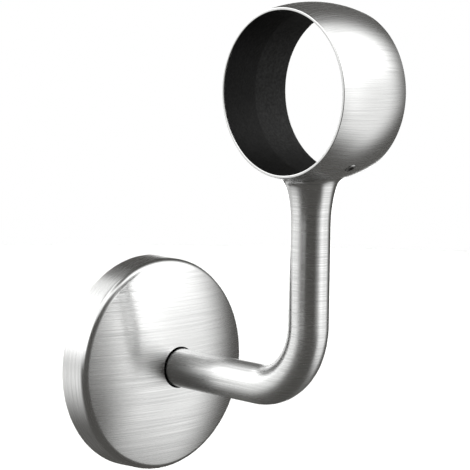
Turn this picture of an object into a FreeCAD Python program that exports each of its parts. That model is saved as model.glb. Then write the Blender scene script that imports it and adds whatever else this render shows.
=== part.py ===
import FreeCAD, Part

import math
import os
import re

import Sketcher

# Wall bracket for a round handrail. Origin: the centre of the fixing plate's wall side.
# +X runs along the rail, +Y points into the wall and +Z is up. Millimetres and degrees.

Vector = FreeCAD.Vector
ORIGIN = (-1, 1)
LEVEL_AXIS = -1
START, END, CENTRE = 1, 2, 3

DIMENSIONS = (
    # Rail ring: a barrel with a crowned outside, bored for the rail.
    ("rail_offset", 62.15, "wall to the rail's axis"),
    ("rail_rise", 76.55, "axis of the stem's wall end to the rail's axis"),
    ("bore_diameter", 40.5, "bore for a 40 mm rail"),
    ("ring_width", 22.6, "ring along the rail"),
    ("rim_wall", 0.68, "ring wall at its two rims"),
    ("crown_wall", 2.26, "ring wall at the middle of its width"),
    # Stem: a round bar from the wall, through one bend, up to the ring.
    ("stem_diameter", 10.5, "round bar"),
    ("bend_radius", 17.7, "centreline of the bend"),
    ("flare_length", 11.0, "length of the flare below the ring"),
    ("flare_height", 13.3, "upright half axis of the flare's ellipse"),
    ("flare_spread", 4.0, "level half axis of the flare's ellipse"),
    ("flare_blend", 3.0, "fillet between the flare and the ring"),
    # Cover rose: a thin domed shell round the stem.
    ("rose_back_diameter", 59.2, "outside, at the wall"),
    ("rose_front_diameter", 58.5, "outside, where the side and the dome would meet"),
    ("rose_side_height", 8.2, "wall to where the side and the dome would meet"),
    ("rose_height", 14.26, "wall to where the dome would cross the stem's axis"),
    ("rose_edge_radius", 2.6, "rounding between the side and the dome"),
    ("rose_wall", 1.5, "wall of the shell"),
    ("rose_hole_diameter", 11.4, "hole for the stem"),
    # Fixing plate: a disc with a hub that holds the stem's keyed end.
    ("plate_thickness", 3.5, "disc"),
    ("hub_diameter", 20.0, "hub"),
    ("hub_height", 7.0, "wall to the hub's front"),
    ("hub_chamfer", 1.0, "chamfer round the hub's front"),
    ("socket_floor", 4.0, "wall to the floor of the hub's socket"),
    ("flats_width", 8.4, "across the two flats of the stem's end"),
    ("key_clearance", 0.05, "gap all round the stem's end in the socket"),
    ("fixing_circle", 38.0, "circle through the three fixing holes"),
    ("fixing_hole_diameter", 5.2, "hole for a 5 mm countersunk screw"),
    ("fixing_sink_diameter", 10.2, "countersink of a fixing hole"),
    # Plate screw: M6 x 16, countersunk, from the wall side into the stem.
    ("screw_diameter", 6.0, "thread"),
    ("screw_length", 16.0, "over the head"),
    ("screw_head_diameter", 12.0, "head"),
    ("screw_head_recess", 0.2, "head below the plate's wall side"),
    ("screw_clearance_diameter", 6.4, "hole through the plate"),
    ("screw_point_chamfer", 0.8, "chamfer at the point"),
    ("screw_key_width", 4.0, "across the flats of the hexagon socket"),
    ("screw_key_depth", 2.5, "hexagon socket"),
    ("tapping_depth", 15.0, "tapped hole in the stem, to its full diameter"),
    ("drill_point_angle", 118.0, "point of a drilled hole"),
    # Rail set screw: M3 x 2, in the room side of the ring's underside.
    ("set_screw_angle", 36.0, "round from straight down, towards the room"),
    ("set_screw_diameter", 3.0, "thread"),
    ("set_screw_length", 2.0, "over all"),
    ("set_screw_clearance", 0.4, "point short of the bore, before a rail is fitted"),
    ("set_screw_chamfer", 0.2, "chamfer at both ends"),
    ("set_screw_key_width", 1.5, "across the flats of the hexagon socket"),
    ("set_screw_key_depth", 1.2, "hexagon socket"),
    ("set_screw_sink", 0.15, "depth of the hole's countersink"),
)
ALIASES = {alias: f"Dimensions.{alias}" for alias, _, _ in DIMENSIONS}

# Lengths that follow from the driving ones, as expressions.
RING_BOTTOM = "(rail_rise - bore_diameter / 2 - crown_wall)"
ROSE_DRAFT = "atan((rose_back_diameter - rose_front_diameter) / 2 / rose_side_height)"
ROSE_DOME_RISE = "(rose_height - rose_side_height)"
ROSE_DOME_RADIUS = f"((rose_front_diameter / 2) ^ 2 + {ROSE_DOME_RISE} ^ 2) / (2 * {ROSE_DOME_RISE})"
ROSE_INNER_RADIUS = f"(rose_back_diameter / 2 - rose_wall / cos({ROSE_DRAFT}))"
PAST_THE_WALL = "0.5"


def make_dimensions(document):
    """Fills the sheet with one plain number a row, and names each number's cell."""
    sheet = document.addObject("Spreadsheet::Sheet", "Dimensions")
    for row, (alias, value, meaning) in enumerate(DIMENSIONS, start=1):
        sheet.set(f"A{row}", alias)
        sheet.set(f"B{row}", str(value))
        sheet.set(f"C{row}", meaning)
        sheet.setAlias(f"B{row}", alias)
    document.recompute()
    return sheet


def sized(text):
    """Writes an expression out in full: a word that names a dimension is read from the sheet."""
    return re.sub(r"\w+", lambda word: ALIASES.get(word[0], word[0]), text)


def number(sketch, text):
    """Value of an expression, as a plain number."""
    result = sketch.evalExpression(sized(text))
    return float(getattr(result, "Value", result))


def add_sketch(body, name, role, **offset):
    """Sketch on the body's own origin plane; offset moves it by expressions, in the plane's axes."""
    plane = next(feature for feature in body.Origin.OriginFeatures if feature.Role == role)
    sketch = body.newObject("Sketcher::SketchObject", name)
    sketch.AttachmentSupport = [(plane, "")]
    sketch.MapMode = "FlatFace"
    fields = {"across": "Base.x", "up": "Base.y", "out": "Base.z", "turn": "Rotation.Angle"}
    for word, expression in offset.items():
        sketch.setExpression(f"AttachmentOffset.{fields[word]}", sized(expression))
    return sketch


def hold(sketch, kind, expression, *elements):
    """Dimensions a sketch by an expression of the sheet."""
    index = sketch.addConstraint(Sketcher.Constraint(kind, *elements, number(sketch, expression)))
    sketch.setExpression(f"Constraints[{index}]", sized(expression))


def hold_point(sketch, curve, end, across, up):
    """Holds a point of a curve at two expressions, measured from the sketch's origin."""
    hold(sketch, "DistanceX", across, *ORIGIN, curve, end)
    hold(sketch, "DistanceY", up, *ORIGIN, curve, end)


def join(sketch, curve, end, other, other_end):
    """Ties two ends together."""
    sketch.addConstraint(Sketcher.Constraint("Coincident", curve, end, other, other_end))


def draw_chain(sketch, corners, closed=True):
    """Straight lines through corners that are held at pairs of expressions. Returns the lines."""
    points = [Vector(number(sketch, across), number(sketch, up)) for across, up in corners]
    ends = points[1:] + points[:1] if closed else points[1:]
    lines = [sketch.addGeometry(Part.LineSegment(a, b), False) for a, b in zip(points, ends)]
    for line, next_line in zip(lines, lines[1:]):
        join(sketch, line, END, next_line, START)
    for line, (across, up) in zip(lines, corners):
        hold_point(sketch, line, START, across, up)
    if closed:
        join(sketch, lines[-1], END, lines[0], START)
    else:
        hold_point(sketch, lines[-1], END, *corners[-1])
    return lines


def draw_circle(sketch, diameter):
    """Circle round the sketch's origin."""
    radius = number(sketch, diameter) / 2
    circle = sketch.addGeometry(Part.Circle(Vector(), Vector(0, 0, 1), radius), False)
    join(sketch, circle, CENTRE, *ORIGIN)
    hold(sketch, "Diameter", diameter, circle)


def draw_hexagon(sketch, across_flats):
    """Regular hexagon round the sketch's origin, with two corners on the level axis."""
    flat = f"{across_flats} / 2"
    side = f"{across_flats} / 2 * tan(30 deg)"
    corner = f"{across_flats} / 2 / cos(30 deg)"
    draw_chain(sketch, (
        (corner, "0"),
        (side, flat),
        (f"-{side}", flat),
        (f"-{corner}", "0"),
        (f"-{side}", f"-{flat}"),
        (side, f"-{flat}"),
    ))


def turn_profile(body, kind, name, sketch, axis):
    """Revolution or Groove of a sketch, once round one of the sketch's own axes."""
    feature = body.newObject(f"PartDesign::{kind}", name)
    feature.Profile = sketch
    feature.ReferenceAxis = (sketch, [axis])
    feature.Angle = 360
    return feature


def cut(body, name, sketch, depth=None, backwards=False):
    """Pocket from a sketch: depth is an expression, or None for right through both ways."""
    pocket = body.newObject("PartDesign::Pocket", name)
    pocket.Profile = sketch
    pocket.Reversed = backwards
    if depth is None:
        pocket.Type = "ThroughAll"
        pocket.SideType = "Symmetric"
    else:
        pocket.setExpression("Length", sized(depth))
    return pocket


def sketch_arc(sketch, circle, start_angle, end_angle):
    """Arc of a circle, in the sketch."""
    return sketch.addGeometry(Part.ArcOfCircle(circle, start_angle, end_angle), False)


def edges_where(feature, test):
    """Names of a feature's edges whose middle point and length pass a test."""
    names = []
    for index, edge in enumerate(feature.Shape.Edges, start=1):
        if test(edge.CenterOfMass, edge.Length):
            names.append(f"Edge{index}")
    return names


def add_body(document, name):
    """Body whose label names its file."""
    body = document.addObject("PartDesign::Body", name)
    body.Label = name
    return body


def draw_stem_path(sketch, sheet):
    """Level run from the socket floor, a quarter bend, and an upright run that ends in the bore."""
    centre = Vector(sheet.bend_radius - sheet.rail_offset, sheet.bend_radius)
    stem_top = "rail_rise - bore_diameter / 2 + " + PAST_THE_WALL
    level = sketch.addGeometry(
        Part.LineSegment(Vector(-sheet.socket_floor, 0), Vector(centre.x, 0)), False)
    circle = Part.Circle(centre, Vector(0, 0, 1), sheet.bend_radius)
    bend = sketch.addGeometry(Part.ArcOfCircle(circle, math.pi, 3 * math.pi / 2), False)
    upright = sketch.addGeometry(
        Part.LineSegment(Vector(-sheet.rail_offset, centre.y),
                         Vector(-sheet.rail_offset, number(sketch, stem_top))), False)
    sketch.addConstraint(Sketcher.Constraint("Tangent", level, END, bend, END))
    sketch.addConstraint(Sketcher.Constraint("Tangent", bend, START, upright, START))
    sketch.addConstraint(Sketcher.Constraint("Horizontal", level))
    sketch.addConstraint(Sketcher.Constraint("Vertical", upright))
    hold(sketch, "Radius", "bend_radius", bend)
    hold_point(sketch, level, START, "-socket_floor", "0")
    hold_point(sketch, upright, END, "-rail_offset", stem_top)


def draw_flare(sketch, sheet):
    """Half section of the flare: a quarter ellipse, upright where it leaves the stem."""
    outer = sheet.stem_diameter / 2 + sheet.flare_spread
    ellipse = Part.Ellipse(Vector(outer, sheet.flare_height), Vector(sheet.stem_diameter / 2, 0),
                           Vector(outer, 0))
    curve = sketch.addGeometry(Part.ArcOfEllipse(ellipse, 0, math.pi / 2), False)
    sketch.exposeInternalGeometry(curve)
    long_axis, short_axis = curve + 1, curve + 2
    top, origin = Vector(0, sheet.flare_height), Vector()
    foot = sketch.addGeometry(Part.LineSegment(Vector(sheet.stem_diameter / 2, 0), origin), False)
    middle = sketch.addGeometry(Part.LineSegment(origin, top), False)
    lid = sketch.addGeometry(Part.LineSegment(top, Vector(outer, sheet.flare_height)), False)
    join(sketch, curve, END, foot, START)
    join(sketch, foot, END, middle, START)
    join(sketch, middle, START, *ORIGIN)
    join(sketch, middle, END, lid, START)
    join(sketch, lid, END, curve, START)
    for line in (foot, lid):
        sketch.addConstraint(Sketcher.Constraint("Horizontal", line))
    for line in (middle, long_axis):
        sketch.addConstraint(Sketcher.Constraint("Vertical", line))
    sketch.addConstraint(Sketcher.Constraint("Vertical", curve, START, curve, CENTRE))
    hold(sketch, "Distance", "flare_height * 2", long_axis)
    hold(sketch, "Distance", "flare_spread * 2", short_axis)
    hold_point(sketch, curve, CENTRE, "stem_diameter / 2 + flare_spread", "0")


def close_with_arc(sketch, chain, radius, centre):
    """Closes an open chain of lines with one arc from its last end round to its first."""
    first = sketch.Geometry[chain[0]].StartPoint
    last = sketch.Geometry[chain[-1]].EndPoint
    circle = Part.Circle(centre, Vector(0, 0, 1), number(sketch, radius))
    angles = [math.atan2(point.y - centre.y, point.x - centre.x) for point in (last, first)]
    arc = sketch.addGeometry(Part.ArcOfCircle(circle, *angles), False)
    join(sketch, chain[-1], END, arc, START)
    join(sketch, arc, END, chain[0], START)
    hold(sketch, "Radius", radius, arc)


def make_bracket_casting(document, sheet):
    """Ring, flare, stem and keyed wall end: one casting, bored and tapped after it is cast."""
    body = add_body(document, "bracket_casting")

    path = add_sketch(body, "stem_path", "YZ_Plane")
    draw_stem_path(path, sheet)
    bar_section = add_sketch(body, "bar_section", "XZ_Plane", out="socket_floor")
    draw_circle(bar_section, "stem_diameter")
    document.recompute()
    stem = body.newObject("PartDesign::AdditivePipe", "stem")
    stem.Profile = bar_section
    stem.Spine = path

    flare_section = add_sketch(body, "flare_section", "XZ_Plane",
                               up=f"{RING_BOTTOM} - flare_length", out="rail_offset")
    draw_flare(flare_section, sheet)
    turn_profile(body, "Revolution", "flare", flare_section, "V_Axis")

    # The ring starts as a solid barrel; its outside is an arc through both rims and the crown.
    ring_section = add_sketch(body, "ring_section", "XZ_Plane", up="rail_rise", out="rail_offset")
    rim_radius = "bore_diameter / 2 + rim_wall"
    half_width = "ring_width / 2"
    chain = draw_chain(ring_section, (
        (f"-{half_width}", rim_radius), (f"-{half_width}", "0"),
        (half_width, "0"), (half_width, rim_radius)), closed=False)
    crown_rise = "(crown_wall - rim_wall)"
    crown_radius = f"(({half_width}) ^ 2 + {crown_rise} ^ 2) / (2 * {crown_rise})"
    crown_centre = Vector(0, number(ring_section, f"bore_diameter / 2 + crown_wall - {crown_radius}"))
    close_with_arc(ring_section, chain, crown_radius, crown_centre)
    turn_profile(body, "Revolution", "ring", ring_section, "H_Axis")
    document.recompute()

    # The seam between the flare and the ring runs once round the stem, just under the ring.
    ring = body.Tip
    seam_height = number(ring_section, RING_BOTTOM)
    seam = edges_where(ring, lambda middle, length: abs(middle.z - seam_height) < sheet.flare_spread
                       and length > math.pi * sheet.stem_diameter)
    blend = body.newObject("PartDesign::Fillet", "flare_blend")
    blend.Base = (ring, seam)
    blend.setExpression("Radius", sized("flare_blend"))
    document.recompute()

    rail_centre = {"across": "-rail_offset", "up": "rail_rise"}
    bore_section = add_sketch(body, "bore_section", "YZ_Plane", **rail_centre)
    draw_circle(bore_section, "bore_diameter")
    cut(body, "bore", bore_section)

    # Tapped through the ring wall along a radius, with a countersink that runs out past the wall.
    tapping = add_sketch(body, "set_screw_tapping", "YZ_Plane", turn="180 - set_screw_angle", **rail_centre)
    crown = "bore_diameter / 2 + crown_wall"
    draw_chain(tapping, (
        ("0", f"bore_diameter / 2 - {PAST_THE_WALL}"),
        ("set_screw_diameter / 2", f"bore_diameter / 2 - {PAST_THE_WALL}"),
        ("set_screw_diameter / 2", f"{crown} - set_screw_sink"),
        (f"set_screw_diameter / 2 + set_screw_sink + {PAST_THE_WALL}", f"{crown} + {PAST_THE_WALL}"),
        ("0", f"{crown} + {PAST_THE_WALL}")))
    turn_profile(body, "Groove", "set_screw_hole", tapping, "V_Axis")

    # Two flats key the stem's end in the hub.
    flats = add_sketch(body, "flats_section", "XZ_Plane", out="socket_floor")
    for side in ("", "-"):
        inner, outer = f"{side}flats_width / 2", f"{side}stem_diameter"
        draw_chain(flats, ((inner, "-stem_diameter"), (outer, "-stem_diameter"),
                           (outer, "stem_diameter"), (inner, "stem_diameter")))
    cut(body, "flats", flats, depth="hub_height - socket_floor + key_clearance", backwards=True)

    tapped_end = add_sketch(body, "stem_tapping", "YZ_Plane")
    drill_tip = "screw_diameter / 2 / tan(drill_point_angle / 2 * 1 deg)"
    draw_chain(tapped_end, (
        ("-socket_floor", "0"),
        ("-socket_floor", "screw_diameter / 2"),
        ("-socket_floor - tapping_depth", "screw_diameter / 2"),
        (f"-socket_floor - tapping_depth - {drill_tip}", "0")))
    turn_profile(body, "Groove", "tapped_hole", tapped_end, "H_Axis")
    return body


def draw_shell(sketch, sheet):
    """Half section of the rose: a drafted side, a rounded edge and a dome, all of one thickness."""
    corner = Vector(-sheet.rose_side_height, sheet.rose_front_diameter / 2)
    back = Vector(0, sheet.rose_back_diameter / 2)
    hole_radius = sheet.rose_hole_diameter / 2
    rise = sheet.rose_height - sheet.rose_side_height
    dome_radius = (corner.y ** 2 + rise ** 2) / (2 * rise)
    dome_centre = Vector(dome_radius - sheet.rose_height, 0)

    # The edge's arc turns from square to the side to square to the dome.
    side_angle = math.pi / 2 + math.atan2(back.y - corner.y, sheet.rose_side_height)
    dome_angle = math.atan2(corner.y, corner.x - dome_centre.x)
    hole_angle = math.pi - math.asin(hole_radius / dome_radius)
    reach = sheet.rose_edge_radius * math.tan((dome_angle - side_angle) / 2)
    side_end = corner + (back - corner).normalize() * reach
    side_normal = Vector(math.cos(side_angle), math.sin(side_angle))
    edge_centre = side_end - side_normal * sheet.rose_edge_radius

    def outline(inset):
        """Side, edge and dome, drawn as far inside the rose's outside as the inset says."""
        side = sketch.addGeometry(
            Part.LineSegment(back - side_normal * inset, side_end - side_normal * inset), False)
        edge_circle = Part.Circle(edge_centre, Vector(0, 0, 1), sheet.rose_edge_radius - inset)
        edge = sketch_arc(sketch, edge_circle, side_angle, dome_angle)
        dome_circle = Part.Circle(dome_centre, Vector(0, 0, 1), dome_radius - inset)
        dome = sketch_arc(sketch, dome_circle, dome_angle, hole_angle)
        sketch.addConstraint(Sketcher.Constraint("Tangent", side, END, edge, START))
        sketch.addConstraint(Sketcher.Constraint("Tangent", edge, END, dome, START))
        return side, edge, dome

    side, edge, dome = outline(0)
    inner_side, inner_edge, inner_dome = outline(sheet.rose_wall)
    ends = [sketch.Geometry[curve].EndPoint for curve in (dome, inner_dome)]
    hole = sketch.addGeometry(Part.LineSegment(*ends), False)
    rim = sketch.addGeometry(Part.LineSegment(sketch.Geometry[inner_side].StartPoint, back), False)
    meeting = sketch.addGeometry(Part.Point(corner), True)

    join(sketch, rim, END, side, START)
    join(sketch, rim, START, inner_side, START)
    join(sketch, dome, END, hole, START)
    join(sketch, inner_dome, END, hole, END)
    join(sketch, inner_edge, CENTRE, edge, CENTRE)
    join(sketch, inner_dome, CENTRE, dome, CENTRE)
    for kind, *elements in (
            ("Parallel", inner_side, side),
            ("Vertical", rim),
            ("Horizontal", hole),
            ("PointOnObject", dome, CENTRE, LEVEL_AXIS),
            ("PointOnObject", meeting, START, side),
            ("PointOnObject", meeting, START, dome)):
        sketch.addConstraint(Sketcher.Constraint(kind, *elements))
    hold_point(sketch, rim, END, "0", "rose_back_diameter / 2")
    hold_point(sketch, meeting, START, "-rose_side_height", "rose_front_diameter / 2")
    hold(sketch, "Radius", "rose_edge_radius", edge)
    hold(sketch, "Radius", "rose_edge_radius - rose_wall", inner_edge)
    hold(sketch, "DistanceX", f"{ROSE_DOME_RADIUS} - rose_height", *ORIGIN, dome, CENTRE)
    hold(sketch, "DistanceY", "rose_hole_diameter / 2", *ORIGIN, hole, START)


def make_cover_rose(document, sheet):
    """Domed shell that covers the fixing plate and rests its rim on the wall."""
    body = add_body(document, "cover_rose")
    section = add_sketch(body, "shell_section", "YZ_Plane")
    draw_shell(section, sheet)
    turn_profile(body, "Revolution", "shell", section, "H_Axis")
    return body


def make_wall_plate(document, sheet):
    """Fixing plate, turned from one disc: its edge carries the rose, its hub holds the stem."""
    body = add_body(document, "wall_plate")
    section = add_sketch(body, "disc_section", "YZ_Plane")
    sink_radius = "screw_head_diameter / 2 + screw_head_recess"
    draw_chain(section, (
        ("0", sink_radius),
        ("0", ROSE_INNER_RADIUS),
        ("-plate_thickness", f"{ROSE_INNER_RADIUS} - plate_thickness * tan({ROSE_DRAFT})"),
        ("-plate_thickness", "hub_diameter / 2"),
        ("hub_chamfer - hub_height", "hub_diameter / 2"),
        ("-hub_height", "hub_diameter / 2 - hub_chamfer"),
        ("-hub_height", "screw_clearance_diameter / 2"),
        (f"screw_clearance_diameter / 2 - ({sink_radius})", "screw_clearance_diameter / 2")))
    turn_profile(body, "Revolution", "disc", section, "H_Axis")

    # The socket has two flats like the stem's end, a hair wider all round.
    socket = add_sketch(body, "socket_section", "XZ_Plane", out="hub_height")
    radius, flat = "stem_diameter / 2 + key_clearance", "flats_width / 2 + key_clearance"
    half_flat = math.acos(number(socket, flat) / number(socket, radius))
    circle = Part.Circle(Vector(), Vector(0, 0, 1), number(socket, radius))
    arcs = [sketch_arc(socket, circle, turn + half_flat, turn + math.pi - half_flat)
            for turn in (0, math.pi)]
    for arc, other in (arcs, arcs[::-1]):
        line = socket.addGeometry(Part.LineSegment(socket.Geometry[arc].EndPoint,
                                                   socket.Geometry[other].StartPoint), False)
        join(socket, arc, END, line, START)
        join(socket, line, END, other, START)
        socket.addConstraint(Sketcher.Constraint("Vertical", line))
    hold(socket, "DistanceX", flat, *ORIGIN, arcs[0], START)
    hold(socket, "DistanceX", f"-({flat})", *ORIGIN, arcs[0], END)
    for arc in arcs:
        join(socket, arc, CENTRE, *ORIGIN)
        hold(socket, "Radius", radius, arc)
    cut(body, "socket", socket, depth="hub_height - socket_floor")

    fixing = add_sketch(body, "fixing_hole_centre", "XZ_Plane", up="fixing_circle / 2", out="plate_thickness")
    draw_circle(fixing, "fixing_hole_diameter")
    document.recompute()
    hole = body.newObject("PartDesign::Hole", "fixing_hole")
    hole.Profile = fixing
    hole.DepthType = "ThroughAll"
    hole.HoleCutType = "Countersink"
    hole.HoleCutCountersinkAngle = 90
    hole.setExpression("Diameter", sized("fixing_hole_diameter"))
    hole.setExpression("HoleCutDiameter", sized("fixing_sink_diameter"))
    document.recompute()
    pattern = body.newObject("PartDesign::PolarPattern", "fixing_holes")
    pattern.Originals = [hole]
    axis = next(feature for feature in body.Origin.OriginFeatures if feature.Role == "Y_Axis")
    pattern.Axis = (axis, [""])
    pattern.Angle = 360
    pattern.Occurrences = 3
    body.Tip = pattern
    return body


def make_plate_screw(document):
    """Countersunk M6 screw that pulls the stem's end into the hub from the wall side."""
    body = add_body(document, "plate_screw")
    section = add_sketch(body, "screw_section", "YZ_Plane")
    head, shank = "screw_head_diameter / 2", "screw_diameter / 2"
    draw_chain(section, (
        ("-screw_head_recess", "0"),
        ("-screw_head_recess", head),
        (f"-screw_head_recess - ({head} - {shank})", shank),
        ("screw_point_chamfer - screw_head_recess - screw_length", shank),
        ("-screw_head_recess - screw_length", f"{shank} - screw_point_chamfer"),
        ("-screw_head_recess - screw_length", "0")))
    turn_profile(body, "Revolution", "screw", section, "H_Axis")
    key = add_sketch(body, "key_section", "XZ_Plane", out="screw_head_recess")
    draw_hexagon(key, "screw_key_width")
    cut(body, "key_socket", key, depth="screw_key_depth", backwards=True)
    return body


def make_rail_set_screw(document, sheet):
    """M3 set screw that bites on the rail: modelled upright, point down, then placed in its hole."""
    body = add_body(document, "rail_set_screw")
    section = add_sketch(body, "set_screw_section", "XZ_Plane")
    radius, end = "set_screw_diameter / 2", "set_screw_chamfer"
    draw_chain(section, (
        ("0", "0"),
        (f"{radius} - {end}", "0"),
        (radius, end),
        (radius, f"set_screw_length - {end}"),
        (f"{radius} - {end}", "set_screw_length"),
        ("0", "set_screw_length")))
    turn_profile(body, "Revolution", "set_screw", section, "V_Axis")
    key = add_sketch(body, "set_screw_key_section", "XY_Plane", out="set_screw_length")
    draw_hexagon(key, "set_screw_key_width")
    cut(body, "set_screw_key_socket", key, depth="set_screw_key_depth")

    point = "(bore_diameter / 2 + set_screw_clearance)"
    angle = "set_screw_angle * 1 deg"
    body.Placement = FreeCAD.Placement(
        Vector(), FreeCAD.Rotation(Vector(1, 0, 0), 180 - sheet.set_screw_angle))
    body.setExpression("Placement.Base.y", sized(f"-rail_offset - {point} * sin({angle})"))
    body.setExpression("Placement.Base.z", sized(f"rail_rise - {point} * cos({angle})"))
    body.setExpression("Placement.Rotation.Angle", sized("180 - set_screw_angle"))
    return body


def check(document, bodies):
    """Stops if any object failed, a sketch can still move, or a body isn't one valid solid."""
    for item in document.Objects:
        if "Invalid" in item.State or "Error" in item.State:
            raise RuntimeError(f"{item.Name} failed: {item.State}")
        if item.isDerivedFrom("Sketcher::SketchObject") and not item.FullyConstrained:
            raise RuntimeError(f"{item.Name} isn't fully constrained")
    for body in bodies:
        if body.Shape.isNull() or not body.Shape.isValid() or len(body.Shape.Solids) != 1:
            raise RuntimeError(f"{body.Label} isn't one valid solid")


document = FreeCAD.newDocument("handrail_bracket")
dimensions = make_dimensions(document)
bodies = [
    make_bracket_casting(document, dimensions),
    make_cover_rose(document, dimensions),
    make_wall_plate(document, dimensions),
    make_plate_screw(document),
    make_rail_set_screw(document, dimensions),
]
document.recompute()
check(document, bodies)
os.makedirs("parts", exist_ok=True)
for body in bodies:
    body.Shape.exportStep(f"parts/{body.Label}.step")
    print(body.Label, f"{body.Shape.Volume:.1f} mm3", body.Shape.BoundBox)
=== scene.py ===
import math

import bmesh
import bpy
import numpy as np
from mathutils import Matrix


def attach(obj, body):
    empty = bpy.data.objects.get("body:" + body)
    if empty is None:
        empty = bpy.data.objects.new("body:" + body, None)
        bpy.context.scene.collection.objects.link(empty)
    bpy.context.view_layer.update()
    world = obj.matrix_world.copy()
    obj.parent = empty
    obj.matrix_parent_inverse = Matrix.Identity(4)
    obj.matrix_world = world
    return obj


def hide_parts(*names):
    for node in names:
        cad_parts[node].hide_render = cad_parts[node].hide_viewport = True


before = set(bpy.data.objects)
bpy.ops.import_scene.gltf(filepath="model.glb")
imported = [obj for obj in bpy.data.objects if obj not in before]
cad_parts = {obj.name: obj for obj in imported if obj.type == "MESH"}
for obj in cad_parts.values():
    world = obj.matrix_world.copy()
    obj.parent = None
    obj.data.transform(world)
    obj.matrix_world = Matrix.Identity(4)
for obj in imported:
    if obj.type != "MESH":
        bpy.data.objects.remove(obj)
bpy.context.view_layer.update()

# ---------------------------------------------------------------------------------------------
# Bracket casting. One investment casting in stainless steel: a crowned ring for the rail, a
# neck that flares into it, and a round stem that bends once towards the wall. The outside is
# belt-brushed to a satin finish; the bore stays as it was cast. Its keyed end sits in the plate.
# ---------------------------------------------------------------------------------------------

# Lengths of the shapes are in millimetres; make_piece turns them into metres.
millimetre = 0.001
rail_y, rail_z = -62.15, 76.55
bore_radius, crown_radius, rim_radius, half_width = 20.25, 22.51, 20.93, 11.3
crown_rise = crown_radius - rim_radius
barrel_radius = (crown_rise ** 2 + half_width ** 2) / (2 * crown_rise)
edge_break = 0.2
stem_radius, bend_radius = 5.25, 17.7
flare_start, flare_height, flare_spread, neck_fillet = 43.04, 13.3, 4.0, 3.0
flats_half_width, flats_start, stem_end = 4.2, -7.05, -4.0
tapped_radius, tapped_end = 3.0, -19.0
drill_point = tapped_radius / math.tan(math.radians(118 / 2))
hole_angle, hole_radius, hole_mouth, hole_sink = math.radians(36), 1.5, 1.65, 0.15


def make_piece(name, grids, materials, weld=0.000001, sharp_from=50):
    """One closed mesh from several grids of points in millimetres. Each grid is (points, grain,
    material number, cells to keep); its quads join neighbours in both directions, its grain
    becomes the UV map, and points of different grids that fall together are welded. Edges that
    turn by more than the sharp angle, in degrees, stay sharp."""
    corners, points, grains, numbers, start = [], [], [], [], 0
    for grid, grain, number, keep in grids:
        rows, columns = grid.shape[:2]
        index = start + np.arange(rows * columns).reshape(rows, columns)
        quads = np.stack([index[:-1, :-1], index[1:, :-1], index[1:, 1:], index[:-1, 1:]], axis=-1)
        quads = quads[keep] if keep is not None else quads.reshape(-1, 4)
        corners.append(quads)
        numbers.append(np.full(len(quads), number))
        points.append(grid.reshape(-1, 3))
        grains.append(grain.reshape(-1, 2))
        start += rows * columns
    corners, points, grains = map(np.concatenate, (corners, points, grains))
    mesh = bpy.data.meshes.new(name)
    mesh.from_pydata((points * millimetre).tolist(), [], corners.tolist())
    mesh.polygons.foreach_set("material_index", np.concatenate(numbers).astype(np.int32))
    grain_layer = mesh.uv_layers.new(name="grain")
    grain_layer.data.foreach_set("uv", grains[corners.ravel()].ravel() * millimetre)
    for material in materials:
        mesh.materials.append(material)
    surface = bmesh.new()
    surface.from_mesh(mesh)
    bmesh.ops.remove_doubles(surface, verts=surface.verts, dist=weld)
    bmesh.ops.dissolve_degenerate(surface, edges=surface.edges, dist=weld * 0.1)
    loose = [corner for corner in surface.verts if not corner.link_faces]
    bmesh.ops.delete(surface, geom=loose, context="VERTS")
    bmesh.ops.recalc_face_normals(surface, faces=surface.faces)
    surface.to_mesh(mesh)
    surface.free()
    mesh.shade_smooth()
    mesh.set_sharp_from_angle(angle=math.radians(sharp_from))
    piece = bpy.data.objects.new(name, mesh)
    bpy.context.scene.collection.objects.link(piece)
    return piece


def grain_map(across, along):
    """Grain coordinates: two lengths, each spread over the whole grid, as pairs."""
    return np.stack(np.broadcast_arrays(across, along), -1)


def ring_radius(x):
    """Crowned outside of the ring: an arc in the plane through the rail's axis."""
    return crown_radius - barrel_radius + np.sqrt(barrel_radius ** 2 - x ** 2)


def round_the_rail(turn, x, radius):
    """Point at a radius from the rail's axis, turned from straight down towards the room."""
    return np.stack([x + 0 * turn, rail_y - radius * np.sin(turn),
                     rail_z - radius * np.cos(turn)], -1)


def under_ring(x, side):
    """Height of the ring's underside above a point beside the stem's axis."""
    return rail_z - np.sqrt(ring_radius(x) ** 2 - side ** 2)


def walk_round(turns, widths):
    """The four sides of a patch of the ring, one after the other, as turns and widths."""
    turn = np.concatenate([np.full(len(widths) - 1, turns[-1]), turns[:0:-1],
                           np.full(len(widths) - 1, turns[0]), turns])
    width = np.concatenate([widths[:-1], np.full(len(turns) - 1, widths[-1]),
                            widths[:0:-1], np.full(len(turns), widths[0])])
    return turn, width


# The ring is laid out in turns from straight down and in widths along the rail. The neck takes
# the turns up to its limit, in degrees, on both sides; the patch next to it holds the set screw.
neck_limit, patch_limit, patch_half_width, crown_end = 28.9, 43.1, 2.8, 11.0
neck_turns = np.radians(np.linspace(-neck_limit, neck_limit, 37))
screw_turns = np.radians(np.linspace(neck_limit, patch_limit, 11))
free_turns = np.radians(np.linspace(patch_limit, 360 - neck_limit, 181))
turns = np.concatenate([screw_turns, free_turns[1:]])
all_turns = np.concatenate([neck_turns[:-1], turns])
flat_edge = half_width - edge_break
screw_widths = np.linspace(-patch_half_width, patch_half_width, 9)
outer_widths = np.append(np.linspace(-patch_half_width, -crown_end, 13)[1:], -flat_edge)
widths = np.concatenate([outer_widths[::-1], screw_widths, -outer_widths])
neck_cells, patch_cells = len(neck_turns) - 1, len(screw_turns) - 1
patch_columns = slice(len(outer_widths), len(outer_widths) + len(screw_widths) - 1)
ring_finish, rim_finish, stem_finish, bore_skin_and_shade_slot = range(4)

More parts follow.
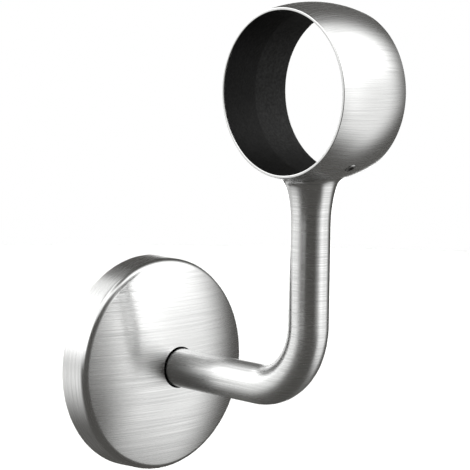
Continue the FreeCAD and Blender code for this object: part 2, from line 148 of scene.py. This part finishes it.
# Outside and bore: grids of turn and width, without the cells that the neck and the hole take.
turn, x = np.meshgrid(turns, widths, indexing="ij")
outside = round_the_rail(turn, x, ring_radius(x))
outside_grain = grain_map(crown_radius * turn, x)
outside_cells = np.ones((len(turns) - 1, len(widths) - 1), bool)
outside_cells[:patch_cells, patch_columns] = False
full_turn, full_x = np.meshgrid(all_turns, widths, indexing="ij")
bore = round_the_rail(full_turn, full_x, bore_radius)
bore_grain = grain_map(bore_radius * full_turn, full_x)
bore_cells = np.ones((len(all_turns) - 1, len(widths) - 1), bool)
bore_cells[neck_cells:neck_cells + patch_cells, patch_columns] = False

# Rims: a flat between two broken edges, each a quarter round. A row close to each edge keeps the
# flat's shading flat, and the two rims read the grain apart from each other.
quarter, row_beside_edge, grain_apart = np.linspace(0, math.pi / 2, 5), 0.04, 5
rim_x = np.concatenate([flat_edge + edge_break * np.sin(quarter), [half_width, half_width],
                        flat_edge + edge_break * np.cos(quarter)])
outer_corner = float(ring_radius(np.array(flat_edge))) - edge_break
inner_corner = bore_radius + edge_break
rim_r = np.concatenate([outer_corner + edge_break * np.cos(quarter),
                        [outer_corner - row_beside_edge, inner_corner + row_beside_edge],
                        inner_corner - edge_break * np.sin(quarter)])
rims = []
for side in (-1, 1):
    rim = round_the_rail(all_turns[:, None], side * rim_x, rim_r[None, :])
    rim_grain = grain_map(rim_r + side * grain_apart, bore_radius * all_turns[:, None])
    rims.append((rim, rim_grain, rim_finish, None))

# Neck: spokes run from the ring's underside in to the stem's axis. Along each spoke the ring
# turns through a rolling-ball fillet into the flare, a quarter of an ellipse, and so to the stem.
edge_turn, edge_x = walk_round(neck_turns, widths)
edge_side = -ring_radius(edge_x) * np.sin(edge_turn)
bearing = np.unwrap(np.arctan2(edge_side, edge_x))
edge_reach = np.hypot(edge_x, edge_side)
across, along = np.cos(bearing), np.sin(bearing)
flare_centre = stem_radius + flare_spread
flare_sweep = math.radians(85)
arc = np.linspace(0, flare_sweep, 1200)
flare_r = flare_centre - flare_spread * np.cos(arc)
flare_z = flare_start + flare_height * np.sin(arc)


def ball_centre(reach, nudge=0.001):
    """Centre of the fillet's ball where it touches the ring this far from the stem's axis: the
    ball's radius below the touching point, square to the ring's slope there."""
    height = under_ring(reach * across, reach * along)
    slope = (under_ring((reach + nudge) * across, (reach + nudge) * along) - height) / nudge
    length = np.hypot(slope, 1)
    return reach + neck_fillet * slope / length, height - neck_fillet / length


# Where the ball touches both is found by halving: further out it is clear of the flare, and
# nearer to the stem it cuts into it.
nearest_touch, farthest_touch, halvings = 7.3, 11.0, 40
near, far = np.full_like(bearing, nearest_touch), np.full_like(bearing, farthest_touch)
for _ in range(halvings):
    middle = (near + far) / 2
    ball_r, ball_z = ball_centre(middle)
    gap = np.hypot(ball_r[:, None] - flare_r, ball_z[:, None] - flare_z)
    clear = gap.min(axis=1) > neck_fillet
    near, far = np.where(clear, near, middle), np.where(clear, middle, far)
touch = np.argmin(gap, axis=1)
touch_height = under_ring(middle * across, middle * along)
first = np.arctan2(touch_height - ball_z, middle - ball_r)
last = np.arctan2(flare_z[touch] - ball_z, flare_r[touch] - ball_r) % (2 * math.pi)
steps = np.linspace(0, 1, 13)[:, None]
reach = edge_reach + (middle - edge_reach) * steps
underside_x, underside_side = reach * across, reach * along
underside = np.stack([underside_x, rail_y + underside_side,
                      under_ring(underside_x, underside_side)], -1)
underside_turn = -np.arcsin(underside_side / ring_radius(underside_x))
underside_grain = grain_map(crown_radius * underside_turn, underside_x)
sweep = first + (last - first) * steps
fillet_r, fillet_z = ball_r + neck_fillet * np.cos(sweep), ball_z + neck_fillet * np.sin(sweep)
rise = arc[touch] * np.linspace(1, 0, 29)[:, None]
neck_r = np.concatenate([fillet_r, (flare_centre - flare_spread * np.cos(rise))[1:]])
neck_z = np.concatenate([fillet_z, (flare_start + flare_height * np.sin(rise))[1:]])

# Length round the stem from the room side, the same both ways, so that the grain meets itself at
# the wall side.
around = stem_radius * np.abs((bearing + math.pi / 2 + math.pi) % (2 * math.pi) - math.pi)
neck = np.stack([neck_r * across, rail_y + neck_r * along, neck_z], -1)
neck_grain = grain_map(neck_z, around)

# Stem: the same spokes carried down the upright, round the bend and along to the wall.
bend_y, bend_z = rail_y + bend_radius, bend_radius
row_before_flats = 0.05


def carry(path_y, path_z, lean, section_x, section_side):
    """Section of the stem at a point of its axis; the lean turns it from level to upright."""
    return np.stack(np.broadcast_arrays(
        section_x, path_y[:, None] + section_side * np.cos(lean)[:, None],
        path_z[:, None] + section_side * np.sin(lean)[:, None]), -1)


round_x, round_side = stem_radius * across, stem_radius * along
heights = np.linspace(flare_start, bend_z, 24)
upright = carry(np.full_like(heights, rail_y), heights, np.zeros_like(heights), round_x, round_side)
upright_grain = grain_map(heights[:, None], around)
lean = np.linspace(0, math.pi / 2, 61)
bend = carry(bend_y - bend_radius * np.cos(lean), bend_z - bend_radius * np.sin(lean), lean,
             round_x, round_side)
bend_grain = grain_map(stem_radius * bearing, -bend_radius * lean[:, None])
reaches = np.append(np.linspace(bend_y, flats_start - row_before_flats, 40), flats_start)
square_on = np.full_like(reaches, math.pi / 2)
level = carry(reaches, np.zeros_like(reaches), square_on, round_x, round_side)
bend_length = bend_radius * math.pi / 2
level_grain = grain_map(stem_radius * bearing, (bend_y - bend_length - reaches)[:, None])
flat_x = np.clip(round_x, -flats_half_width, flats_half_width)
key = np.stack([
    np.stack([section_x, np.full_like(bearing, y), section_z], -1) for section_x, y, section_z in (
        (round_x, flats_start, round_side), (flat_x, flats_start, round_side),
        (flat_x, stem_end, round_side),
        (tapped_radius * across, stem_end, tapped_radius * along),
        (tapped_radius * across, tapped_end, tapped_radius * along),
        (0 * across, tapped_end - drill_point, 0 * along))])
key_grain = grain_map(key[..., 0], key[..., 2])

# Set screw's hole: spokes from a patch of the outside to its mouth, down a countersink and the
# hole's wall, and out again to the same patch of the bore.
patch_turn, patch_x = walk_round(screw_turns, screw_widths)
patch_side = ring_radius(patch_x) * np.sin(patch_turn - hole_angle)
bore_side = bore_radius * np.sin(patch_turn - hole_angle)
hole_bearing = np.unwrap(np.arctan2(patch_side, patch_x))
hole_x, hole_side = np.cos(hole_bearing), np.sin(hole_bearing)
spread = np.linspace(0, 1, 6)[:, None]


def beside_hole(x, side, height):
    """Point beside the hole's axis: so far along the rail, so far to the side of the axis round
    the ring, and so far out from the rail along the axis."""
    return np.stack([x + 0 * height,
                     rail_y - height * math.sin(hole_angle) - side * math.cos(hole_angle),
                     rail_z - height * math.cos(hole_angle) + side * math.sin(hole_angle)], -1)


mouth_x = patch_x + (hole_mouth * hole_x - patch_x) * spread
mouth_side = patch_side + (hole_mouth * hole_side - patch_side) * spread
mouth_height = np.sqrt(ring_radius(mouth_x) ** 2 - mouth_side ** 2)
mouth = beside_hole(mouth_x, mouth_side, mouth_height)
mouth_turn = hole_angle + np.arcsin(mouth_side / crown_radius)
mouth_grain = grain_map(crown_radius * mouth_turn, mouth_x)
exit_x = hole_radius * hole_x + (patch_x - hole_radius * hole_x) * spread
exit_side = hole_radius * hole_side + (bore_side - hole_radius * hole_side) * spread
exit_patch = beside_hole(exit_x, exit_side, np.sqrt(bore_radius ** 2 - exit_side ** 2))
wall = np.stack([mouth[-1],
                 beside_hole(hole_radius * hole_x, hole_radius * hole_side,
                             np.full_like(hole_x, crown_radius - hole_sink)),
                 exit_patch[0]])
wall_grain = grain_map(np.arange(len(wall))[:, None], hole_bearing)
exit_grain = grain_map(exit_side, exit_x)


def start_material(name, values):
    """A new material, its nodes and links, and its shader with the plain values set."""
    material = bpy.data.materials.new(name)
    material.use_nodes = True
    nodes, links = material.node_tree.nodes, material.node_tree.links
    shader = nodes["Principled BSDF"]
    for socket, value in values.items():
        shader.inputs[socket].default_value = value
    return material, nodes, links, shader


def place_texture(material, stretch, source="Object"):
    """Where the texture reads: the place on the object, or on the grain map, divided along each
    axis by the stretch, which is in millimetres."""
    nodes, links = material.node_tree.nodes, material.node_tree.links
    if source == "Object":
        position = nodes.new("ShaderNodeTexCoord").outputs["Object"]
    else:
        grain = nodes.new("ShaderNodeUVMap")
        grain.uv_map = source
        position = grain.outputs["UV"]
    mapping = nodes.new("ShaderNodeMapping")
    mapping.inputs["Scale"].default_value = [1 / (length * millimetre) for length in stretch]
    links.new(position, mapping.inputs["Vector"])
    return mapping.outputs["Vector"]


def add_noise(material, vector, scale, detail, roughness=0.5):
    """Noise texture over a vector, as a grey value."""
    noise = material.node_tree.nodes.new("ShaderNodeTexNoise")
    noise.inputs["Scale"].default_value = scale
    noise.inputs["Detail"].default_value = detail
    noise.inputs["Roughness"].default_value = roughness
    material.node_tree.links.new(vector, noise.inputs["Vector"])
    return noise.outputs["Fac"]


def map_range(material, value, low, high, to_low, to_high):
    """Value carried from one range to another, clamped."""
    node = material.node_tree.nodes.new("ShaderNodeMapRange")
    limits = {"From Min": low, "From Max": high, "To Min": to_low, "To Max": to_high}
    for socket, limit in limits.items():
        node.inputs[socket].default_value = limit
    material.node_tree.links.new(value, node.inputs["Value"])
    return node.outputs["Result"]


def combine(material, operation, first_value, second_value):
    """Two values joined by a sum, product or the like."""
    node = material.node_tree.nodes.new("ShaderNodeMath")
    node.operation = operation
    for socket, value in zip(node.inputs, (first_value, second_value)):
        if isinstance(value, (int, float)):
            socket.default_value = value
        else:
            material.node_tree.links.new(value, socket)
    return node.outputs["Value"]


def paint_grey(material, grey):
    """Base colour with the same value in red, green and blue."""
    nodes, links = material.node_tree.nodes, material.node_tree.links
    shade = nodes.new("ShaderNodeCombineColor")
    for channel in ("Red", "Green", "Blue"):
        links.new(grey, shade.inputs[channel])
    links.new(shade.outputs["Color"], nodes["Principled BSDF"].inputs["Base Color"])


def brushed_steel(name, long_way, source="Object", tone=0.62, roughness=0.24, anisotropy=0.8,
                  spread=None, turn=0.0, depths=(0.003, 0.008, 0.020), lengthen=1.0, contrast=1.0):
    """Satin steel. Fine, middling and broad lines run the long way and change quickly across it,
    each cut to its depth in millimetres. Where the mean of the fine and the middling ones lies
    high, the tone is lighter and the gloss sharper. The gloss spreads across the lines, along the
    direction that spread gives."""
    material, nodes, links, shader = start_material(
        name, {"Metallic": 1.0, "Anisotropic": anisotropy, "Anisotropic Rotation": turn})
    layers = []
    for width, length in ((0.14, 9.0), (0.32, 20.0), (1.3, 45.0)):
        stretch = [length * lengthen if along else width for along in long_way]
        place = place_texture(material, stretch, source)
        layers.append(add_noise(material, place, scale=1.0, detail=2.0))
    fine, middling, broad = layers
    lines = combine(material, "ADD", combine(material, "MULTIPLY", fine, 0.5),
                    combine(material, "MULTIPLY", middling, 0.5))
    darkest, lightest = tone * (1 - 0.16 * contrast), tone * (1 + 0.14 * contrast)
    paint_grey(material, map_range(material, lines, 0.32, 0.68, darkest, lightest))
    gloss_change = 0.08
    gloss = map_range(material, lines, 0.3, 0.7, roughness + gloss_change, roughness - gloss_change)
    links.new(gloss, shader.inputs["Roughness"])
    normal = None
    for height, depth in zip((broad, middling, fine), reversed(depths)):
        bump = nodes.new("ShaderNodeBump")
        bump.inputs["Strength"].default_value = 1.0
        bump.inputs["Distance"].default_value = depth * millimetre
        links.new(height, bump.inputs["Height"])
        if normal is not None:
            links.new(normal, bump.inputs["Normal"])
        normal = bump.outputs["Normal"]
    links.new(normal, shader.inputs["Normal"])
    if spread is not None:
        direction = nodes.new("ShaderNodeCombineXYZ")
        for axis, value in zip("XYZ", spread):
            direction.inputs[axis].default_value = value
        links.new(direction.outputs["Vector"], shader.inputs["Tangent"])
    return material


def cast_bore_with_painted_shade(name):
    """Casting skin of the bore: gritty on the side that the core was drawn from, smoother past the
    middle. Its near-black tone is painted shade inside the ring, and the half past the middle is
    painted a little lighter, as painted light where light falls in. The tone is the grit times the
    sum of the patches and that painted light."""
    material, nodes, links, shader = start_material(
        name, {"Metallic": 0.3, "Roughness": 0.55, "Specular IOR Level": 0.15})
    position = nodes.new("ShaderNodeTexCoord").outputs["Object"]
    grit = add_noise(material, position, scale=1500.0, detail=3.0, roughness=0.6)
    patches = add_noise(material, position, scale=420.0, detail=3.0, roughness=0.6)
    split = nodes.new("ShaderNodeSeparateXYZ")
    links.new(position, split.inputs["Vector"])
    middle_start, middle_end, noise_low, noise_high = -0.0004, 0.0002, 0.35, 0.65
    # The near-black tones below are painted shade inside the ring; the extra on the half past the
    # middle is painted light.
    darkest, lightest, far_half_painted_light, least_grit, most_grit = 0.003, 0.006, 0.008, 0.5, 1.5
    far_half = map_range(material, split.outputs["X"], middle_start, middle_end, 0, 1)
    patches_and_painted_shade = combine(material, "ADD",
                   map_range(material, patches, noise_low, noise_high, darkest, lightest),
                   combine(material, "MULTIPLY", far_half, far_half_painted_light))
    speckle = map_range(material, grit, noise_low, noise_high, least_grit, most_grit)
    paint_grey(material, combine(material, "MULTIPLY", speckle, patches_and_painted_shade))
    bump = nodes.new("ShaderNodeBump")
    bump.inputs["Distance"].default_value = 0.0001
    links.new(map_range(material, far_half, 0, 1, 1.0, 0.4), bump.inputs["Strength"])
    links.new(grit, bump.inputs["Height"])
    links.new(bump.outputs["Normal"], shader.inputs["Normal"])
    return material


ring_satin = brushed_steel("ring_satin", (False, True, True), "grain", spread=(1, 0, 0), turn=0.25,
                           depths=(0.005, 0.013, 0.018), lengthen=1.6)
rim_satin = brushed_steel("rim_satin", (False, True, True), "grain", roughness=0.2, anisotropy=0.0)
stem_satin = brushed_steel("stem_satin", (True, True, False), roughness=0.22, spread=(0, 0, 1),
                           depths=(0.003, 0.006, 0.005), lengthen=1.4, contrast=1.3)

# The bend and the level part are finished by hand, so their gloss is softer than the upright's:
# the roughness gains its full extra at the lower height and none at the upper, both in metres.
soft_height, glossy_height, hand_softness = 0.010, 0.026, 0.07
stem_nodes, stem_links = stem_satin.node_tree.nodes, stem_satin.node_tree.links
stem_roughness = stem_nodes["Principled BSDF"].inputs["Roughness"]
stem_place = stem_nodes.new("ShaderNodeSeparateXYZ")
stem_links.new(stem_nodes.new("ShaderNodeTexCoord").outputs["Object"], stem_place.inputs["Vector"])
softer = map_range(stem_satin, stem_place.outputs["Z"], soft_height, glossy_height,
                   hand_softness, 0.0)
stem_links.new(combine(stem_satin, "ADD", stem_roughness.links[0].from_socket, softer),
               stem_roughness)
# The bore's material: its grit and patches are the cast skin, its near-black tone is painted shade.
bore_skin_and_painted_shade = cast_bore_with_painted_shade("bore_skin_and_painted_shade")

casting = make_piece("casting_in_satin_steel", [
    (outside, outside_grain, ring_finish, outside_cells),
    (underside, underside_grain, ring_finish, None),
    (mouth, mouth_grain, ring_finish, None),
    *rims,
    (neck, neck_grain, stem_finish, None),
    (upright, upright_grain, stem_finish, None),
    (bend, bend_grain, stem_finish, None),
    (level, level_grain, stem_finish, None),
    (key, key_grain, stem_finish, None),
    (wall, wall_grain, stem_finish, None),
    (bore, bore_grain, bore_skin_and_shade_slot, bore_cells),
    (exit_patch, exit_grain, bore_skin_and_shade_slot, None),
], [ring_satin, rim_satin, stem_satin, bore_skin_and_painted_shade])
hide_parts("bracket_casting")
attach(casting, "root")

# ---------------------------------------------------------------------------------------------
# Set screw. A stainless M3 screw with a 1.5 mm hexagon socket, turned into the ring's underside
# from the room side. Its socket end stays a little proud until a rail is fitted and held by it.
# ---------------------------------------------------------------------------------------------


def blend_paint(material, factor, first, second):
    """Base colour between two colours, the first where the factor is zero."""
    nodes, links = material.node_tree.nodes, material.node_tree.links
    blend = nodes.new("ShaderNodeMix")
    blend.data_type = "RGBA"
    blend.inputs["A"].default_value = (*first, 1)
    blend.inputs["B"].default_value = (*second, 1)
    links.new(factor, blend.inputs["Factor"])
    links.new(blend.outputs["Result"], nodes["Principled BSDF"].inputs["Base Color"])


def plain_metal(name, tone, roughness, wear):
    """Turned or plated metal: its tone and its gloss wander a little, as plating and handling do.
    The tone runs between the given one times one less the wear and it times one plus the wear."""
    material, nodes, links, shader = start_material(name, {"Metallic": 1.0})
    place = nodes.new("ShaderNodeTexCoord").outputs["Object"]
    clouds = add_noise(material, place, scale=900.0, detail=4.0)
    worn, fresh = ([channel * share for channel in tone] for share in (1 - wear, 1 + wear))
    blend_paint(material, map_range(material, clouds, 0.35, 0.65, 0, 1), worn, fresh)
    gloss = map_range(material, clouds, 0.3, 0.7, roughness - 0.06, roughness + 0.08)
    links.new(gloss, shader.inputs["Roughness"])
    return material


def dress(node, material):
    """The material in every slot of a node that is shown as it is."""
    for material_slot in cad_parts[node].material_slots:
        material_slot.material = material


screw_steel = plain_metal("screw_steel", (0.42, 0.42, 0.42), roughness=0.35, wear=0.15)
dress("rail_set_screw", screw_steel)

# ---------------------------------------------------------------------------------------------
# Cover rose. A shell of 1.5 mm stainless sheet, spun over a former: a short drafted side, a
# rounded edge and a shallow dome with a hole for the stem. It is pushed over the plate's edge.
# ---------------------------------------------------------------------------------------------
back_radius, corner_radius, side_height, rose_height = 29.6, 29.25, 8.2, 14.26
edge_radius, sheet_wall, rose_hole = 2.6, 1.5, 5.7
dome_rise = rose_height - side_height
dome_radius = (corner_radius ** 2 + dome_rise ** 2) / (2 * dome_rise)
dome_centre = np.array([dome_radius - rose_height, 0])
side_draft = math.atan2(back_radius - corner_radius, side_height)
side_angle = math.pi / 2 + side_draft
side_normal = np.array([math.cos(side_angle), math.sin(side_angle)])
side_way = np.array([-math.cos(side_draft), -math.sin(side_draft)])

# The edge's centre lies its own radius inside the side and inside the dome. It is where a line
# beside the side, that far in, meets the dome's circle made smaller by as much.
start = np.array([0, back_radius]) - edge_radius * side_normal - dome_centre
half_way = start @ side_way
run = -half_way + math.sqrt(half_way ** 2 - start @ start + (dome_radius - edge_radius) ** 2)
edge_centre = start + dome_centre + run * side_way
dome_angle = math.atan2(*(edge_centre - dome_centre)[::-1])


def arc_run(centre, radius, first_angle, last_angle, count):
    """Points of an arc after its first one, as depth and radius."""
    turn = np.linspace(first_angle, last_angle, count + 1)[1:, None]
    return centre + radius * np.concatenate([np.cos(turn), np.sin(turn)], -1)


def rose_outline(inset):
    """Wall to hole, as depth and radius: side, edge arc and dome arc, all the same inset."""
    foot = np.array([0.0, back_radius - inset / math.sin(side_angle)])
    side_end = edge_centre + (edge_radius - inset) * side_normal
    side_run = foot + (side_end - foot) * np.linspace(0, 1, 8)[:, None]
    edge_run = arc_run(edge_centre, edge_radius - inset, side_angle, dome_angle, 16)
    rim_angle = math.pi - math.asin(rose_hole / (dome_radius - inset))
    dome_run = arc_run(dome_centre, dome_radius - inset, dome_angle, rim_angle, 44)
    return side_run, edge_run, dome_run


def spin(run, turn):
    """A run of depths and radii turned about the stem's level axis."""
    return np.stack(np.broadcast_arrays(run[:, None, 1] * np.cos(turn), run[:, None, 0],
                                        run[:, None, 1] * np.sin(turn)), -1)


rose_turns = np.linspace(0, 2 * math.pi, 289)

# Length round the rose from its top, the same both ways, so that the grain meets itself below.
rose_fold = corner_radius * np.abs((rose_turns + math.pi / 2) % (2 * math.pi) - math.pi)
side_run, edge_run, dome_run = rose_outline(0)
inner_run = np.concatenate(rose_outline(sheet_wall))
side = spin(side_run, rose_turns)
side_grain = grain_map(side_run[:, :1], rose_fold)
edge = spin(np.concatenate([side_run[-1:], edge_run]), rose_turns)
edge_row = 0.18
edge_grain = grain_map(side_run[-1, 0] - edge_row * np.arange(len(edge))[:, None], rose_fold)
dome = spin(np.concatenate([edge_run[-1:], dome_run]), rose_turns)
hidden_faces = [spin(run, rose_turns) for run in (
    inner_run, np.stack([dome_run[-1], inner_run[-1]]), np.stack([side_run[0], inner_run[0]]))]
face_finish, band_finish, edge_finish, inside_painted_shade_slot = range(4)
rose_face = brushed_steel("rose_face", (True, True, False), roughness=0.26, anisotropy=0.88,
                          spread=(0, 0, 1), depths=(0.006, 0.010, 0.006), lengthen=1.8)
rose_band = brushed_steel("rose_band", (False, True, True), "grain", spread=(0, 1, 0),
                          depths=(0.002, 0.006, 0.010))
rose_edge = brushed_steel("rose_edge", (False, True, True), "grain", roughness=0.22, anisotropy=0.0,
                          depths=(0.001, 0.001, 0.001))
# Inside of the shell and the hole's rim: near black, painted shade where the gap round the stem
# looks in; only the small wander of its tone is its own.
rose_inside_painted_shade = plain_metal("rose_inside_painted_shade", (0.05, 0.05, 0.05), roughness=0.6, wear=0.3)
rose = make_piece("rose_in_satin_steel", [
    (dome, grain_map(dome[..., 2], dome[..., 0]), face_finish, None),
    (side, side_grain, band_finish, None),
    (edge, edge_grain, edge_finish, None),
    *((face, grain_map(face[..., 2], face[..., 0]), inside_painted_shade_slot, None) for face in hidden_faces),
], [rose_face, rose_band, rose_edge, rose_inside_painted_shade])
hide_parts("cover_rose")
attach(rose, "root")

# ---------------------------------------------------------------------------------------------
# Fixing plate. A turned steel disc, zinc plated, with a hub whose socket holds the stem's two
# flats and three countersunk holes for the wall screws. The rose hides it.
# ---------------------------------------------------------------------------------------------
zinc = plain_metal("zinc_plate", (0.56, 0.57, 0.60), roughness=0.36, wear=0.08)
dress("wall_plate", zinc)

# ---------------------------------------------------------------------------------------------
# Plate screw. A zinc-plated M6 countersunk screw with a hexagon socket. It comes through the
# plate from the wall side and draws the stem into the socket.
# ---------------------------------------------------------------------------------------------
screw_zinc = plain_metal("screw_zinc", (0.50, 0.51, 0.54), roughness=0.3, wear=0.1)
dress("plate_screw", screw_zinc)

# ---------------------------------------------------------------------------------------------
# Studio. A pale floor well below the bracket, a round tent of soft panels that only the metal
# and the floor see, a white surround, and the camera.
# ---------------------------------------------------------------------------------------------


def seen_directly(node_tree):
    """One for what the camera sees itself, in metal or through glass, and zero for light."""
    path = node_tree.nodes.new("ShaderNodeLightPath")
    seen = path.outputs["Is Camera Ray"]
    for way in ("Is Glossy Ray", "Is Transmission Ray"):
        both = node_tree.nodes.new("ShaderNodeMath")
        both.operation = "MAXIMUM"
        node_tree.links.new(seen, both.inputs[0])
        node_tree.links.new(path.outputs[way], both.inputs[1])
        seen = both.outputs["Value"]
    return seen


def lay_disc(name, radius, height, corners=96):
    """A level disc, as one ring of points joined into a face."""
    turn = np.linspace(0, 2 * math.pi, corners + 1)[:-1]
    mesh = bpy.data.meshes.new(name)
    rim = np.stack([radius * np.sin(turn), radius * np.cos(turn), np.full(corners, height)], -1)
    mesh.from_pydata(rim[::-1].tolist(), [], [list(range(corners))])
    disc = bpy.data.objects.new(name, mesh)
    bpy.context.scene.collection.objects.link(disc)
    return disc


floor = lay_disc("floor", radius=1.6, height=-0.16)
floor_paint = start_material("floor_paint", {"Roughness": 1.0, "Specular IOR Level": 0.0})[0]
blend_paint(floor_paint, seen_directly(floor_paint.node_tree), (0.8, 0.8, 0.8), (1, 1, 1))
floor.data.materials.append(floor_paint)
floor.visible_glossy = False

azimuth, elevation = np.meshgrid(np.radians(np.linspace(-180, 180, 181)),
                                 np.radians(np.linspace(-90, 90, 91)), indexing="ij")


def soft_step(value, edge, softness):
    """Zero below an edge and one above it, with a smooth ramp as wide as the softness: the share
    of the ramp, squared, times three less twice the share."""
    share = np.clip((value - edge) / softness + 0.5, 0, 1)
    return share * share * (3 - 2 * share)


def panel(left, right, bottom, top, side_softness, height_softness, strength):
    """Light of a soft panel between two azimuths and two elevations, in degrees: the strength,
    times its share from side to side, times its share above the bottom and below the top."""
    away = np.abs((np.degrees(azimuth) - (left + right) / 2 + 180) % 360 - 180)
    height = np.degrees(elevation)
    sideways = 1 - soft_step(away, (right - left) / 2, side_softness)
    upwards = soft_step(height, bottom, height_softness)
    return strength * sideways * upwards * (1 - soft_step(height, top, height_softness))


# Each panel: left, right, bottom, top, softness of its sides and of its heights, strength.
key_panel = (panel(7, 86, 19, 80, 35, 27, 1.45) + panel(15, 70, -44, 48, 28, 25, 1.14)
             + panel(2, 20, -17, 47, 50, 7, 1.0))
left_panel = panel(-188, -72, 9, 41, 12, 30, 2.6) + panel(-147, -110, -28, 0, 48, 46, 1.54)
top_panel = panel(-177, 49, 60, 71, 26, 22, 2.38) + panel(-142, -51, 43, 59, 11, 20, 1.3)
back_panel = panel(109, 172, -15, 7, 3, 3, 2.6) + panel(161, 218, -25, 41, 23, 55, 0.77)
panel_light = key_panel + left_panel + top_panel + back_panel

# The cloth between the panels glows faintly and warmer than they do.
cloth_glow = 0.113
cloth_tint, panel_tint = np.array([1, 0.975, 0.915, 0]), np.array([1, 1.006, 1, 0])
tent_colour = cloth_glow * cloth_tint + panel_light[..., None] * panel_tint
tent_centre, tent_radius = np.array([0.0, -0.035, 0.035]), 4.0
tent_points = tent_centre + tent_radius * np.stack([
    np.sin(azimuth) * np.cos(elevation), -np.cos(azimuth) * np.cos(elevation),
    np.sin(elevation)], -1)
index = np.arange(azimuth.size).reshape(azimuth.shape)
tent_quads = np.stack([index[:-1, :-1], index[1:, :-1], index[1:, 1:], index[:-1, 1:]], -1)
tent_mesh = bpy.data.meshes.new("tent")
tent_mesh.from_pydata(tent_points.reshape(-1, 3).tolist(), [], tent_quads.reshape(-1, 4).tolist())
tent_light = tent_mesh.attributes.new("light", "FLOAT_COLOR", "POINT")
tent_light.data.foreach_set("color", tent_colour.ravel().astype(np.float32))
tent = bpy.data.objects.new("tent", tent_mesh)
bpy.context.scene.collection.objects.link(tent)
tent_cloth = bpy.data.materials.new("tent_cloth")
tent_cloth.use_nodes = True
tent_cloth.cycles.emission_sampling = "NONE"
tent_nodes, tent_links = tent_cloth.node_tree.nodes, tent_cloth.node_tree.links
tent_nodes.clear()
cloth_light = tent_nodes.new("ShaderNodeAttribute")
cloth_light.attribute_name = "light"
glow = tent_nodes.new("ShaderNodeEmission")
tent_links.new(cloth_light.outputs["Color"], glow.inputs["Color"])
tent_output = tent_nodes.new("ShaderNodeOutputMaterial")
tent_links.new(glow.outputs["Emission"], tent_output.inputs["Surface"])
tent_mesh.materials.append(tent_cloth)
tent.visible_camera = False
tent.visible_shadow = False

world = bpy.data.worlds.new("surround")
bpy.context.scene.world = world
world.use_nodes = True
surround = world.node_tree.nodes["Background"]
surround.inputs["Color"].default_value = (1, 1, 1, 1)
world.node_tree.links.new(seen_directly(world.node_tree), surround.inputs["Strength"])

camera_data = bpy.data.cameras.new("camera")
camera_data.sensor_width = 36.0
camera_data.lens = 138.30
camera_data.clip_start = 0.01
camera_data.clip_end = 20.0
camera = bpy.data.objects.new("camera", camera_data)
bpy.context.scene.collection.objects.link(camera)
view_turn, view_rise, view_roll = np.radians([-44.3719, 6.5237, 0.6953])
back = np.array([math.sin(view_turn) * math.cos(view_rise),
                 -math.cos(view_turn) * math.cos(view_rise), math.sin(view_rise)])
right = np.array([math.cos(view_turn), math.sin(view_turn), 0])
up = np.cross(back, right)
rolled_right = math.cos(view_roll) * right + math.sin(view_roll) * up
rolled_up = math.cos(view_roll) * up - math.sin(view_roll) * right
placing = np.identity(4)
placing[:3, 0], placing[:3, 1], placing[:3, 2] = rolled_right, rolled_up, back
placing[:3, 3] = (-0.329516, -0.371905, 0.092171)
camera.matrix_world = Matrix(placing.tolist())
bpy.context.scene.camera = camera
bpy.context.scene.view_settings.view_transform = "Standard"
